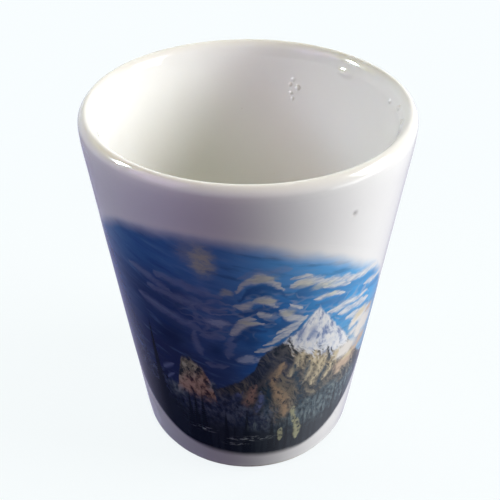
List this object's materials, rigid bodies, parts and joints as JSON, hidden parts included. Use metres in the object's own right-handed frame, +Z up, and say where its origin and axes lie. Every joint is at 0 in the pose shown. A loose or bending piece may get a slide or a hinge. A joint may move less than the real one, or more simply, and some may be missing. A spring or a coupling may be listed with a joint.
{
  "type": "shot glass",
  "caption": "Small tapered ceramic drinking cup with a rounded rim, a glossy white glaze, a bare foot ring and a printed landscape on its front.",
  "frame": {"origin": "centre of the foot ring, on the surface that the cup stands on", "axes": "+Z up along the cup's axis, -Y towards the middle of the printed picture, +X to the right of someone looking at the picture"},
  "size_m": [0.0484, 0.0484, 0.06],
  "materials": {
    "fired_clay": "matt, unglazed off-white stoneware",
    "white_glaze": "glossy opaque white glaze",
    "clear_coat": "glossy clear polyester over white, drawn as the white that shows through it",
    "printed_picture": "glossy dyed picture of a mountain landscape, fading to white at its edge"
  },
  "bodies": {
    "root": {"ceramic_body": "fired_clay", "cup_glaze": "white_glaze", "underside_glaze": "white_glaze", "clear_coat": "clear_coat", "picture_print": "printed_picture"}
  },
  "joints": []
}
